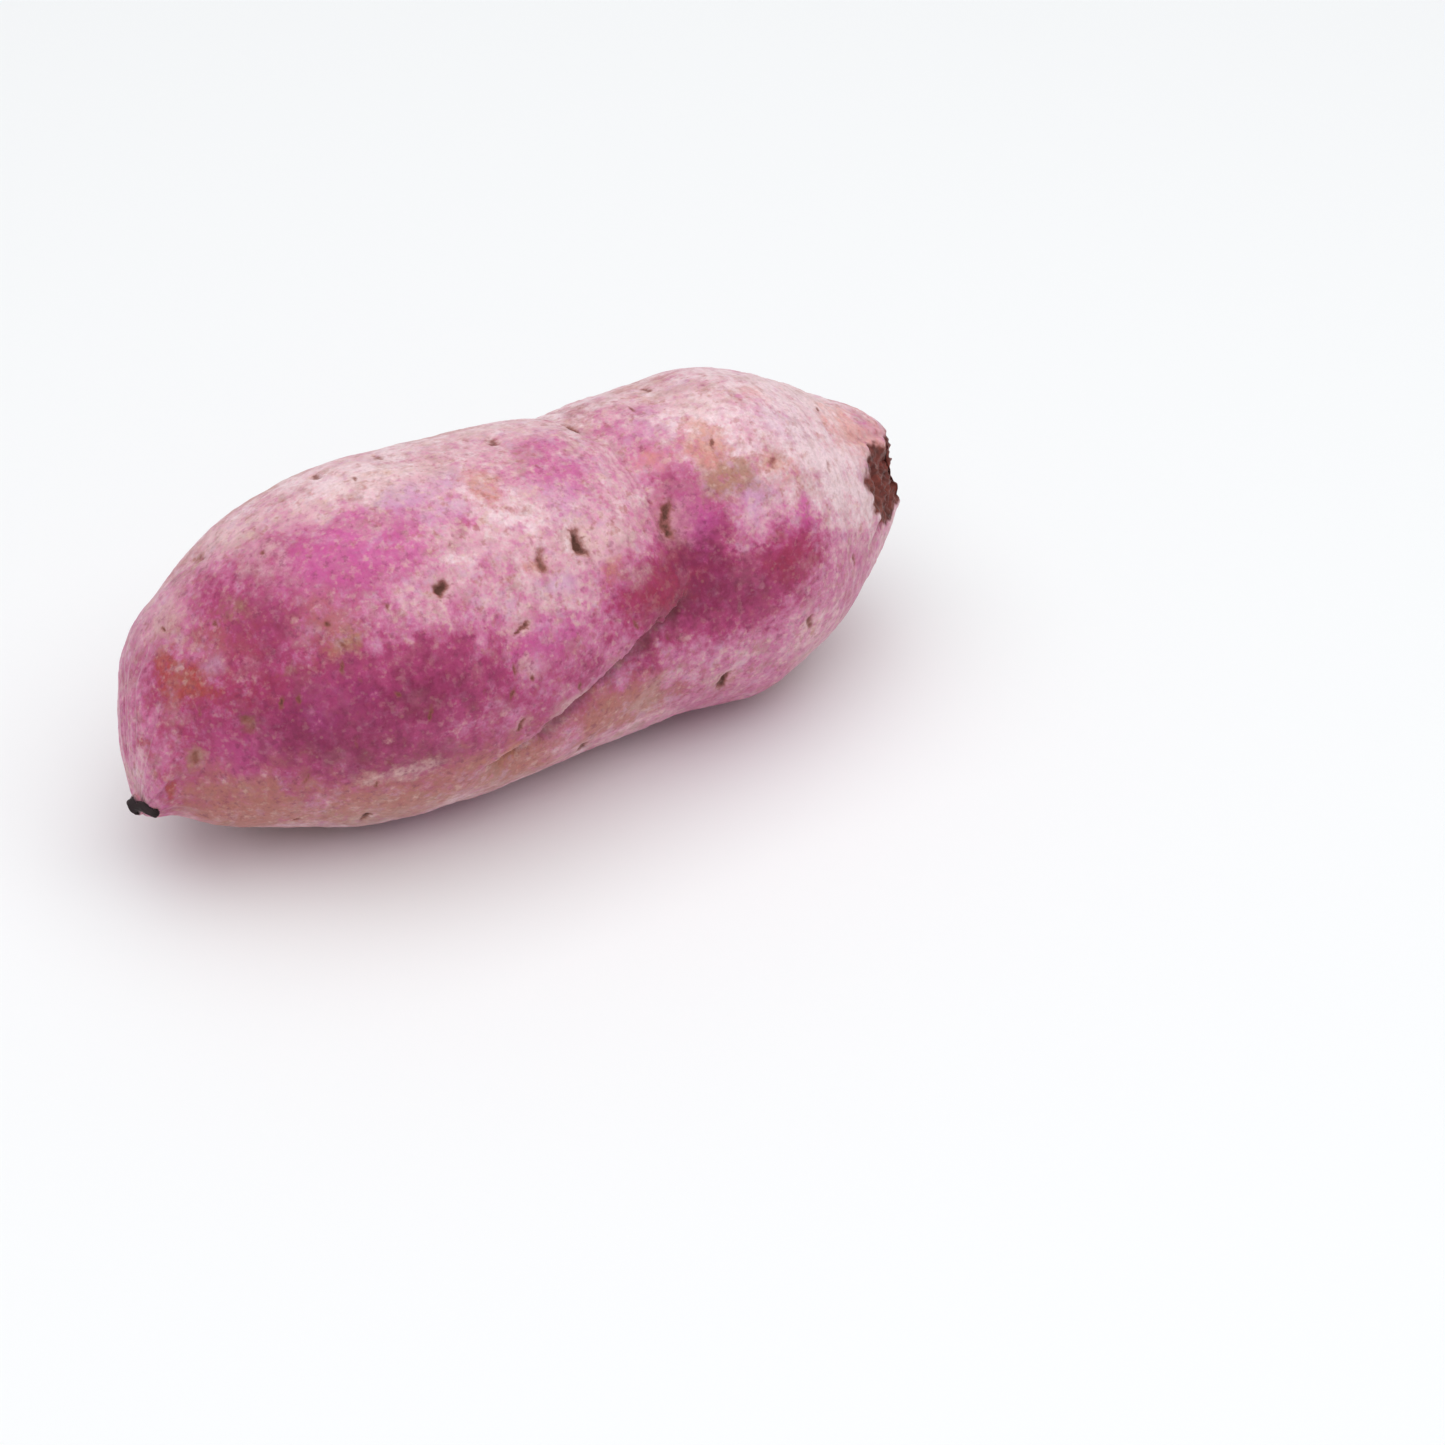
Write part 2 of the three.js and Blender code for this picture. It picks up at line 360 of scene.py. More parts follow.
def nicks(skin):
    """Each nick is a short slit in a low swelling."""
    chance = np.random.default_rng(NICK_SEED)
    placed = [(at, turn, 1.0) for at, turn in NICKS]
    for _ in range(NICKS_SCATTERED):
        at, turn = chance.uniform(*NICKS_BETWEEN), chance.uniform(-180, 180)
        placed.append((at, turn, chance.uniform(*NICK_STRENGTHS)))
    for at, turn, strength in placed:
        long = chance.uniform(*NICK_LENGTHS)
        rows, u, w = skin.near(at, turn, 5, chance.uniform(*NICK_SLANTS), NICK_RAGGED)
        slit = bell(u, 0.42) * bell(w, long)
        swell = bell(u, 1.3) * bell(w, long + 0.8)
        skin.height[rows] += strength * (0.16 * swell - 0.34 * slit)
        skin.mark("cork", rows, 0.7 * strength * np.clip(1.2 * slit, 0, 1))


def furrows(skin):
    """Each furrow is pressed in step by step from one of its places to the next, and fades at both ends. Its
    groove gets painted shade.
    """
    for places, half_width, depth, lip in FURROWS:
        ats, turns = zip(*places)
        last = len(places) - 1
        cut = np.zeros(skin.share.shape)
        raised = np.zeros(skin.share.shape)
        for spot in np.linspace(0, last, FURROW_STEPS * last + 1):
            fade = risen(spot, 0, 0.8) * (1 - risen(spot, last - 0.9, last))
            at, turn = (np.interp(spot, range(last + 1), values) for values in (ats, turns))
            rows, u, w = skin.near(at, turn, 6 * half_width, ragged=FURROW_RAGGED)
            cut[rows] = np.maximum(cut[rows], fade * bell(np.hypot(u, w), half_width))
            above = np.hypot(u, w + 2 * half_width)
            raised[rows] = np.maximum(raised[rows], fade * bell(above, 1.5 * half_width))
        skin.height += lip * raised * (1 - cut) - depth * cut
        # painted shade: the groove is marked to be coloured darker
        skin.mark("furrow", EVERYWHERE, cut * risen(depth, 0.4, 1.4))


# ---------------------------------------------------------------- patches of colour

# How thick the coloured film is, from 0, rubbed down to the pale cork, to 1, deep wine red. It starts from
# BARE_FILM and is thickened or thinned in patches: how far along, angle round, half length along, half
# width around, change.
# A few of the patches below paint shade or a pale sheen into the film; they are marked.
BARE_FILM = 0.24
FILM_RAGGED = 3.2
FILM = [
    (0.12, 45, 27, 38, 0.42),
    (0.15, 45, 14, 12, 0.08),
    (0.38, 42, 9, 6, 0.1),
    (0.48, 70, 9, 7, 0.12),
    (0.66, 76, 14, 10, 0.12),
    (0.27, 80, 27, 15, 0.5),
    (0.3, 62, 18, 9, 0.16),
    (0.27, 20, 16, 11, 0.2),
    (0.42, 70, 14, 8, 0.12),
    (0.6, 66, 14, 10, 0.5),
    (0.67, 44, 8, 10, 0.56),
    (0.7, 74, 18, 11, 0.5),
    (0.79, 68, 10, 5, 0.3),
    (0.55, 6, 10, 12, 0.12),
    (0.66, 14, 4, 14, 0.14),
    (0.5, 92, 16, 9, 0.36),
    (0.46, 32, 17, 9, -0.05),
    (0.74, 8, 8, 10, -0.14),
    (0.88, 30, 13, 20, -0.18),
    (0.89, 15, 12, 24, -0.2),
    # partly pale skin, partly a painted sheen: thinner film along the top edge, where light grazes
    (0.45, -32, 80, 14, -0.12),
    (0.84, -10, 14, 14, -0.14),
    # painted shade: thicker, darker film on the flank under the furrow, where shade falls
    (0.56, 108, 15, 8, 0.16),
    (0.33, 106, 20, 10, 0.28),
    (0.35, -6, 20, 8, -0.12),
    (0.3, 124, 30, 12, -0.1),
    (0.22, -80, 26, 16, 0.4),
    (0.5, -112, 24, 14, 0.5),
    (0.73, -95, 14, 18, 0.35),
    (0.38, -60, 14, 10, 0.2),
    (0.62, -62, 12, 9, -0.12),
    (0.85, -120, 12, 12, 0.25),
    (0.3, 165, 24, 14, 0.2),
    (0.72, 140, 18, 16, 0.35),
    (0.88, 100, 12, 12, 0.2),
]

# Where the skin takes another tint: how far along, angle round, half length along, half width around,
# strength. A tint's edge is ragged by a share of its patch's smaller size.
# Some tint patches below are partly painted shade or sheen; they are marked.
TINT_RAGGED = 0.3
TINTS = {
    "tan": [
        (0.12, 118, 18, 14, 0.95),
        (0.26, 118, 20, 12, 1.0),
        (0.4, 117, 14, 10, 0.95),
        # painted shade: brown on the flank under the furrow, where shade falls
        (0.54, 108, 14, 8, 0.9),
        (0.07, 100, 7, 10, 0.5),
        (0.165, 98, 5, 4, 0.6),
        (0.225, 38, 7, 7, 0.6),
        (0.33, 106, 18, 8, 0.7),
        (0.11, 28, 9, 9, 0.45),
        (0.15, -35, 10, 5, 0.5),
        (0.27, -37, 14, 5, 0.6),
        (0.45, -36, 16, 5, 0.6),
        (0.73, -28, 8, 6, 0.5),
        (0.1, 2, 6, 12, 0.4),
        (0.35, -97, 15, 8, 0.6),
        (0.78, -92, 9, 9, 0.6),
        (0.12, -95, 9, 12, 0.6),
        (0.57, -84, 7, 9, 0.5),
        (0.22, 170, 22, 12, 0.7),
        (0.55, 178, 26, 12, 0.6),
        (0.8, 160, 12, 10, 0.6),
        (0.47, -170, 16, 8, 0.6),
        (0.68, -165, 12, 8, 0.6),
    ],
    "magenta": [
        (0.27, 20, 14, 9, 0.8),
        (0.33, 27, 8, 6, 0.5),
        (0.54, 10, 9, 14, 0.45),
        (0.67, 42, 6, 7, 0.8),
        (0.45, 67, 9, 5, 0.6),
        (0.11, 76, 8, 8, 0.5),
        (0.2, 66, 12, 8, 0.4),
        (0.41, 22, 4, 3, 0.6),
        (0.8, 56, 7, 5, 0.6),
        (0.4, -70, 12, 10, 0.6),
        (0.7, -110, 12, 12, 0.5),
        (0.22, -110, 12, 9, 0.5),
        (0.6, 150, 10, 9, 0.5),
    ],
    "crimson": [
        (0.6, 64, 12, 7, 0.7),
        (0.2, 46, 10, 8, 0.5),
        (0.12, 42, 13, 12, 0.6),
        (0.1, 68, 8, 8, 0.5),
        (0.06, 40, 6, 16, 0.4),
        (0.63, -22, 5, 8, 0.5),
        (0.78, 68, 9, 6, 0.7),
        (0.38, -120, 9, 6, 0.6),
        (0.85, -70, 7, 9, 0.4),
    ],
    "cream": [
        (0.35, -5, 20, 6, 0.7),
        (0.27, -3, 7, 6, 0.7),
        (0.2, 8, 6, 7, 0.5),
        (0.1, -12, 8, 12, 0.6),
        (0.19, -18, 9, 9, 0.7),
        (0.9, -5, 12, 14, 0.6),
        # these three: partly cream skin, partly a painted sheen along the top edge, where light grazes
        (0.33, -22, 14, 7, 0.5),
        (0.5, -24, 14, 7, 0.5),
        (0.7, -16, 10, 7, 0.5),
        (0.42, 31, 9, 4, 0.35),
        (0.4, 47, 9, 4, 0.3),
        (0.55, 42, 8, 5, 0.7),
        (0.49, 20, 6, 6, 0.3),
        (0.56, -15, 10, 7, 0.5),
        (0.74, 6, 6, 8, 0.7),
        (0.42, 73, 5, 2.5, 0.6),
        (0.27, 99, 10, 3, 0.6),
        (0.47, 91, 5, 3, 0.7),
        (0.87, 8, 12, 10, 0.35),
        (0.58, 56, 4, 3, 0.5),
        (0.3, -50, 12, 5, 0.6),
        (0.62, -60, 11, 6, 0.6),
        (0.85, -120, 8, 8, 0.5),
        (0.15, -150, 9, 7, 0.5),
        (0.45, 160, 12, 6, 0.6),
        (0.8, 120, 7, 6, 0.5),
    ],
    "lavender": [
        (0.36, 8, 7, 4, 0.8),
        (0.43, 5, 5, 4, 0.7),
        (0.39, 17, 7, 3, 0.6),
        (0.48, 51, 5, 2, 0.8),
        (0.68, 2, 6, 7, 0.5),
        (0.75, 45, 6, 4, 0.8),
        (0.81, 20, 9, 6, 0.5),
        (0.53, 25, 7, 6, 0.5),
        (0.2, 40, 5, 3, 0.4),
        (0.11, 34, 4, 3, 0.6),
        (0.26, -85, 7, 5, 0.5),
        (0.55, -75, 7, 6, 0.5),
    ],
    "orange": [
        (0.45, 11, 4, 5, 0.8),
        (0.72, 21, 5, 6, 1.0),
        (0.73, 33, 6, 4, 0.8),
        (0.785, 37, 5, 4, 0.7),
        (0.39, 107, 5, 5, 0.8),
        (0.55, 52, 3, 3, 0.5),
        (0.46, 43, 3, 2, 0.6),
        (0.36, -8, 4, 3, 0.5),
        (0.29, -5, 4, 3, 0.4),
        (0.23, 47, 4, 3, 0.5),
        (0.71, -15, 3, 5, 0.5),
        (0.35, -62, 4, 3, 0.6),
        (0.6, -125, 5, 4, 0.6),
    ],
    "olive": [
        (0.07, 75, 3, 2.5, 0.8),
        (0.15, 18, 4, 3, 0.5),
        (0.235, 47, 4, 2.5, 0.6),
        (0.125, 64, 2, 1.8, 0.8),
        (0.175, 49, 3, 2, 0.5),
        (0.73, 35, 7, 4, 0.95),
        (0.86, 46, 4, 3, 0.5),
        (0.29, 112, 4, 4, 0.5),
        (0.1, 128, 4, 5, 0.4),
        (0.14, -18, 5, 6, 0.5),
        (0.5, -120, 4, 3, 0.5),
        (0.29, -72, 5, 3, 0.6),
        (0.66, -88, 4, 4, 0.6),
        (0.88, -70, 4, 4, 0.5),
    ],
    "salmon": [
        (0.93, 22, 8, 8, 0.8),
        (0.96, 36, 5, 5, 0.8),
        (0.98, 0, 4, 12, 0.5),
        (0.82, 5, 5, 4, 0.5),
        (0.66, 18, 5, 4, 0.5),
        (0.93, -60, 8, 10, 0.6),
        (0.93, 140, 8, 12, 0.6),
    ],
    "scab": [
        (0.075, 20, 3.5, 4.5, 1.0),
        (0.085, 33, 4, 4, 1.0),
        (0.1, 43, 4, 5, 0.5),
        (0.04, 88, 2.5, 3, 0.8),
        (0.41, 23, 3, 2.5, 0.4),
        (0.03, 20, 2.5, 6, 0.5),
        (0.14, -60, 3, 4, 0.7),
        (0.52, -60, 3, 3, 0.6),
        (0.8, -62, 3, 3, 0.6),
    ],
}


def film_and_tints(skin):
    film = np.full(skin.share.shape, BARE_FILM)
    for at, turn, long, wide, change in FILM:
        rows, u, w = skin.near(at, turn, 3 * max(long, wide), ragged=FILM_RAGGED)
        film[rows] += change * np.exp(-(((u / long) ** 2 + (w / wide) ** 2) ** 1.4))
    skin.mark("film", EVERYWHERE, np.clip(film, 0, 1))
    for name, places in TINTS.items():
        for at, turn, long, wide, strength in places:
            rows, u, w = skin.near(at, turn, 3 * max(long, wide), ragged=TINT_RAGGED * min(long, wide))
            amount = np.exp(-0.9 * ((u / long) ** 2 + (w / wide) ** 2))
            skin.mark(name, rows, strength * amount)


SCAB_RISE = 0.12
CRACK_DEPTH = 0.28


def scabs(skin):
    """Healed scrapes: the skin stands up a little and is cracked like cork. Olive skin does so less."""
    healed = skin.marks["scab"] + 0.6 * skin.marks["olive"]
    crackle = np.abs(noise(skin.point, 0.9, 51)) + 0.6 * np.abs(noise(skin.point, 0.45, 52))
    skin.height += healed * (SCAB_RISE - CRACK_DEPTH * crackle)


# ---------------------------------------------------------------- the two ends

# The slanting break beside the stem scar: a place on the skin, which way the broken face looks, how far
# inside that place it lies, and the most that can be gone.
BREAK_AT = 0.955
BREAK_TURN = 55
BREAK_FACING = (0.7, -0.65, 0.3)
BREAK_DEPTH = 1.5
BREAK_MOST = 6

# The dried tail root: a short stub that leaves the tip and then lies across towards the front.
STUB_ROOT_RADIUS = 2.0  # how far from the tip the root's skin turns into the stub
STUB_RADIUS = 0.9
STUB_STEM = (0.3, -0.9, 1.3)  # from the root to where the stub bends
STUB_LIES = (0.5, -0.85, -0.2)  # which way it goes from there
STUB_LENGTH = 5.0  # how long it is from there
STUB_ROUNDED = 0.2  # share of the stub that its rounded end takes up
STUB_ROWS = round((STUB_LENGTH + 1) / ROW_STEP)

# The root is a little fuller under its tail than the frame is: how far along, angle round, half length
# along, half width around, and how much.
FULLER_TAIL = (0.09, 130, 7, 8, 1.3)


def torn_face(skin):
    """The end of the neck is torn, cupped and corky. Gives how much of each point belongs to that face, how
    far it is from the middle, 0, to the rim, 1, and how roughly it is torn there."""
    from_end = skin.point[..., 0].max() - skin.point[..., 0]
    middle = skin.point[-1].mean(axis=0)
    from_middle = np.linalg.norm((skin.point - middle)[..., 1:], axis=-1)
    face = (1 - risen(from_end, 0.3, 1.2)) * risen(skin.share, 0.98, 0.995)
    uneven = 1 + 0.12 * noise(skin.point, (50, 3.5, 3.5), 66)
    ring = uneven * from_middle / from_middle[face > 0.5].max()
    torn = noise(skin.point, (4.5, 1.0, 1.0), 61) + 0.5 * noise(skin.point, 0.7, 62)
    cup = -1.5 * (1 - risen(ring, 0.45, 0.95))
    bundles = 0.6 * bell(ring - 0.62, 0.12) * noise(skin.point, 1.4, 63)
    angle = np.radians(skin.turn) + 0.5 * noise(skin.point, 4.0, 67)
    spokes = (np.sin(9 * angle) + 0.7 * np.sin(17 * angle)) * risen(ring, 0.3, 0.6)
    fibres = (0.35 * torn + 0.3 * spokes) * (1 - risen(ring, 0.75, 0.95))
    skin.height += face * (cup + bundles + fibres)
    skin.mark("pith", EVERYWHERE, face * (1 - risen(ring + 0.1 * spokes, 0.45, 0.72)))
    return face, ring, torn


def stem_scar(skin):
    """The neck ends in a torn, corky face with a ragged rim, broken off at a slant in front: whatever stood
    beyond the slanting plane is gone."""
    face, ring, torn = torn_face(skin)
    column = round((BREAK_TURN + 180) / 360 * FINE_COLUMNS)
    place = skin.point[skin.row_at(BREAK_AT), column]
    facing = unit(np.array(BREAK_FACING))
    waved = 0.9 * noise(skin.point, 3.6, 64) + 0.3 * noise(skin.point, 1.4, 65)
    beyond = (skin.point - place) @ facing + BREAK_DEPTH + waved
    beyond = np.clip(beyond, 0, BREAK_MOST) * risen(skin.share, 0.9, 0.94)
    slope = np.clip(np.sum(skin.out * facing, axis=-1), 0.35, 1)
    skin.height -= np.clip(beyond / slope, 0, BREAK_MOST) * (1 - face) + beyond * face
    bare = np.maximum(risen(beyond, 0.1, 0.5), face * (1 - risen(ring, 0.9, 1.02)))
    skin.height += bare * (1 - face) * 0.35 * torn
    skin.mark("scar", EVERYWHERE, bare)


def with_tail_stub(point):
    """The frame's tail tip drawn out to the dried tail root."""
    reach = np.linalg.norm(point - point[0, 0], axis=-1).mean(axis=1)
    first = int(np.argmax(reach > STUB_ROOT_RADIUS))
    root = point[first]
    start = root.mean(axis=0)
    root_radius = np.linalg.norm(root - start, axis=-1).mean()
    bend = start + np.array(STUB_STEM)
    end = bend + STUB_LENGTH * unit(np.array(STUB_LIES))
    rows = []
    for t in np.linspace(1, 0, STUB_ROWS, endpoint=False):
        middle = (1 - t) ** 2 * start + 2 * t * (1 - t) * bend + t**2 * end
        heading = Vector((1 - t) * (bend - start) + t * (end - bend))
        turned = np.array(Vector((-1, 0, 0)).rotation_difference(heading).to_matrix())
        radius = root_radius + (STUB_RADIUS - root_radius) * risen(t, 0, 0.4)
        into_end = max(0, t - (1 - STUB_ROUNDED)) / STUB_ROUNDED
        radius *= math.sqrt(max(0, 1 - into_end**2))
        rows.append(middle + (root - start) @ turned.T * radius / root_radius)
    return np.concatenate([rows, point[first:]])


def dried_tail(skin):
    """The stub is black and withered."""
    row = np.broadcast_to(np.arange(len(skin.point))[:, None], skin.share.shape)
    stub = 1 - risen(row + 1.5 * noise(skin.point, 1.0, 72), STUB_ROWS - 1, STUB_ROWS + 4)
    skin.height += stub * 0.25 * noise(skin.point, (1.6, 1.6, 0.7), 71) * risen(row, 0, 3)
    skin.mark("tail", EVERYWHERE, stub)


def fuller_tail(skin):
    at, turn, long, wide, rise = FULLER_TAIL
    rows, u, w = skin.near(at, turn, 3 * wide)
    skin.height[rows] += rise * bell(u, long) * bell(w, wide)


# ---------------------------------------------------------------- mesh


def single_tips(layer):
    """Rows of values as one list, with each tip's repeated value taken once."""
    inner = layer[1:-1].reshape(-1, *layer.shape[2:])
    return np.concatenate([layer[0, :1], inner, layer[-1, :1]])


def faces(rows, columns):
    """Every face's corners in turn, and how many each face has: a fan round the tail tip, quads between the
    rows, and a fan round the middle of the scar."""
    j = np.arange(columns)
    k = (j + 1) % columns
    last = 1 + columns * (rows - 2)
    near = 1 + columns * np.arange(rows - 3)[:, None]
    far = near + columns
    quads = np.stack([near + j, near + k, far + k, far + j], axis=-1).reshape(-1, 4)
    tail_fan = np.stack([np.zeros_like(j), 1 + k, 1 + j], axis=-1)
    edge = last - columns
    stem_fan = np.stack([np.full_like(j, last), edge + j, edge + k], axis=-1)
    corners = np.concatenate([tail_fan.ravel(), quads.ravel(), stem_fan.ravel()])
    sizes = np.concatenate([np.full(columns, 3), np.full(len(quads), 4), np.full(columns, 3)])
    return corners, sizes


def flat_map(point):
    """Every corner's place on a flat map of the skin, in the same order as the faces: tail to stem across,
    and round the root up, cut open underneath."""
    rows, columns = point.shape[:2]
    j = np.arange(columns)
    steps = np.linalg.norm(np.diff(point, axis=0), axis=2).mean(axis=1)
    across = np.concatenate([[0], np.cumsum(steps)]) / steps.sum()
    level = np.broadcast_to(np.arange(1, rows - 2)[:, None], (rows - 3, columns))
    near, far = across[level], across[level + 1]
    quad_u = np.stack([near, near, far, far], axis=-1)
    quad_v = np.broadcast_to(np.stack([j, j + 1, j + 1, j], axis=-1) / columns, quad_u.shape)
    tail_u = np.tile([0, across[1], across[1]], (columns, 1))
    tail_v = np.stack([j + 0.5, j + 1, j], axis=-1) / columns
    stem_u = np.tile([1, across[-2], across[-2]], (columns, 1))
    stem_v = np.stack([j + 0.5, j, j + 1], axis=-1) / columns
    u = np.concatenate([tail_u.ravel(), quad_u.ravel(), stem_u.ravel()])
    v = np.concatenate([tail_v.ravel(), quad_v.ravel(), stem_v.ravel()])
    return np.stack([u, v], axis=-1)


def build_mesh(name, point, marks):
    """Rows of points to one closed mesh, with the marks as attributes and one flat map of the skin."""
    vertices = single_tips(point) * MM
    corners, sizes = faces(*point.shape[:2])
    mesh = bpy.data.meshes.new(name)
    mesh.vertices.add(len(vertices))
    mesh.vertices.foreach_set("co", vertices.ravel())
    mesh.loops.add(len(corners))
    mesh.loops.foreach_set("vertex_index", corners)
    mesh.polygons.add(len(sizes))
    mesh.polygons.foreach_set("loop_start", np.cumsum(sizes) - sizes)
    mesh.update(calc_edges=True)
    mesh.validate()
    mesh.uv_layers.new(name="OFBake").data.foreach_set("uv", flat_map(point).astype(np.float32).ravel())
    for mark, layer in marks.items():
        values = np.clip(single_tips(layer), 0, 1).astype(np.float32)
        mesh.attributes.new(mark, "FLOAT", "POINT").data.foreach_set("value", values)
    mesh.shade_smooth()
    return mesh


# ---------------------------------------------------------------- materials

# The film's colour from thin to thick.
FILM_COLOURS = [
    (0.0, "#efd0d6"),
    (0.2, "#deaab6"),
    (0.42, "#cc759c"),
    (0.68, "#ad3a6e"),
    (1.0, "#85184a"),
]

# The tints that lie over it, in this order: mark, colour, how strongly it shows, and how hard its edge is.
LAYERS = [
    ("tan", "#b2705e", 0.85, 1.3),
    ("crimson", "#a02848", 0.7, 1.4),
    ("magenta", "#cc4f9a", 0.7, 1.4),
    ("cream", "#e8c6c4", 0.6, 1.6),
    ("lavender", "#d0a4c6", 0.55, 1.4),
    ("salmon", "#e59a90", 0.75, 1.4),
    ("orange", "#cb8462", 0.6, 1.6),
    ("olive", "#9c7658", 0.6, 1.7),
    ("scab", "#aa3c38", 0.85, 2.2),
    ("halo", "#d6ada2", 0.45, 1.5),
]

# Noises in the skin: size in mm, detail, roughness, their own pattern, and how much each thins and thickens
# the film. The streaks are drawn out around the root.
SKIN_NOISES = {
    "broad": (9, 4, 0.6, 1, 0.3),
    "flaky": (2.6, 6, 0.7, 2, 0.42),
    "flecks": (1.5, 4, 0.65, 3, 0.26),
    "streaks": (1.6, 4, 0.65, 6, 0.12),
    "grain": (0.5, 3, 0.6, 5, 0.18),
}
STREAK_SCALE = (1, 0.4, 0.4)
CLOUD_SHARE = 0.7  # how much of a cell of the noise one of its lumps takes up
CLOUD_RANGE = (0.28, 0.72)  # where nearly all of its values lie

# Specks on the film: colour, size in mm, their own pattern, and how strongly they show.
SPECKS = [
    ("#c3a096", 4.6, 15, 0.45),
    ("#a67a68", 3.0, 16, 0.45),
    ("#dcb8aa", 1.3, 11, 0.55),
    ("#a8604e", 1.1, 12, 0.5),
    ("#c24f94", 1.5, 13, 0.4),
    ("#cfa6c2", 1.8, 14, 0.35),
]
PORE_SPACING = 2.6
PORE_COLOUR = "#c99c86"
WINE_COLOUR = "#7a1d48"
WINE_SPECKS = (0.9, 21, 0.5)  # size in mm, their own pattern, and how strongly they show
# painted shade laid into the valleys of wrinkles and ribs
HOLLOW_SHADE_COLOUR = "#8c4a56"
# painted shade along the furrows' grooves
FURROW_SHADE_COLOUR = "#6b3a30"

# Cork from thin to thick: colour, how much cork it starts and ends at, and how strongly it shows.
BARK = [("#8c4a3e", 0.15, 0.55, 0.8), ("#4a2412", 0.5, 1.0, 0.9)]

# The torn scar: its wood, the lighter fibres and the two darker ones in it, then its pith, light and dark.
SCAR_WOOD = "#7c211c"
SCAR_FIBRES = [("#bd6a5a", "flaky", 0.7), ("#2c0c09", "flecks", 0.8), ("#1f0a08", "grain", 0.45)]
PITH_LIGHT = "#c39a7c"
PITH_DARK = "#85523e"
DRIED_TAIL = "#080403"
BLOOM = "#f4e2e0"

# How rough the skin is: where it is smoothest, how much it varies, and how much duller cork, the scar and
# the tail are. Then the relief too fine for the mesh: its strength, and its height in mm.
SMOOTHEST = 0.42
ROUGHNESS_RANGE = 0.16
DULLER = 0.3
FINE_RELIEF_STRENGTH = 0.35
FINE_RELIEF_HEIGHT = 0.12

LACQUER = "#f4f4f5"
LACQUER_ROUGHNESS = 0.6


def linear(code):
    """An sRGB hex colour as Blender's linear red, green, blue and alpha."""
    channels = [int(code[i : i + 2], 16) / 255 for i in (1, 3, 5)]
    return (*[c / 12.92 if c <= 0.04045 else ((c + 0.055) / 1.055) ** 2.4 for c in channels], 1.0)


def add(tree, kind, links=None, **settings):
    """Adds a node with its settings. links gives each input, by name or number, a value or a socket."""
    node = tree.nodes.new(kind)
    for name, value in settings.items():
        setattr(node, name, value)
    for name, source in (links or {}).items():
        if isinstance(source, bpy.types.NodeSocket):
            tree.links.new(source, node.inputs[name])
        else:
            node.inputs[name].default_value = source
    return node


def marked(tree, name):
    """How much of a mark there is."""
    return add(tree, "ShaderNodeAttribute", attribute_name=name).outputs["Fac"]


def sums(tree, kind, a, b):
    return add(tree, "ShaderNodeMath", {0: a, 1: b}, operation=kind).outputs[0]


def swing(tree, value, amount):
    """Noise from 0 to 1 as a change of up to half of `amount` either way."""
    return sums(tree, "MULTIPLY", sums(tree, "SUBTRACT", value, 0.5), amount)


def spread(tree, value, low, high, to_low=0.0, to_high=1.0, kind="LINEAR"):
    """A value that goes from low to high, spread from to_low to to_high."""
    ends = {"Value": value, "From Min": low, "From Max": high, "To Min": to_low, "To Max": to_high}
    return add(tree, "ShaderNodeMapRange", ends, interpolation_type=kind).outputs[0]


def clouds(tree, vector, size, detail, roughness, seed):
    """Noise whose lumps are about `size` mm across, spread over 0 to 1."""
    scale = CLOUD_SHARE / (size * MM)
    settings = {"Vector": vector, "W": seed, "Scale": scale, "Detail": detail, "Roughness": roughness}
    made = add(tree, "ShaderNodeTexNoise", settings, noise_dimensions="4D")
    return spread(tree, made.outputs[0], *CLOUD_RANGE)


def over(tree, under, colour, share, blend="MIX"):
    """One colour laid over another, by a share from 0 to 1."""
    colours = {0: share, 6: under, 7: linear(colour) if isinstance(colour, str) else colour}
    mixed = add(tree, "ShaderNodeMix", colours, data_type="RGBA", blend_type=blend, clamp_result=True)
    return mixed.outputs[2]


def film_colour(tree, film):
    """The film's own colour, paler where it is thin."""
    ramp = add(tree, "ShaderNodeValToRGB", {"Fac": film})
    stops = ramp.color_ramp.elements
    for thickness, _ in FILM_COLOURS[1:-1]:
        stops.new(thickness)
    for stop, (thickness, code) in zip(stops, FILM_COLOURS):
        stop.position = thickness
        stop.color = linear(code)
    return ramp.outputs[0]


def tinted(tree, colour, flaky):
    """The tints, each with noise that eats into its patch's edge and leaves islands of it outside."""
    for name, code, strength, hardness in LAYERS:
        shifted = sums(tree, "ADD", marked(tree, name), swing(tree, flaky, 0.7))
        half = 0.5 / hardness
        share = spread(tree, shifted, 0.5 - half, 0.5 + half, to_high=strength, kind="SMOOTHSTEP")
        colour = over(tree, colour, code, share)
    return colour


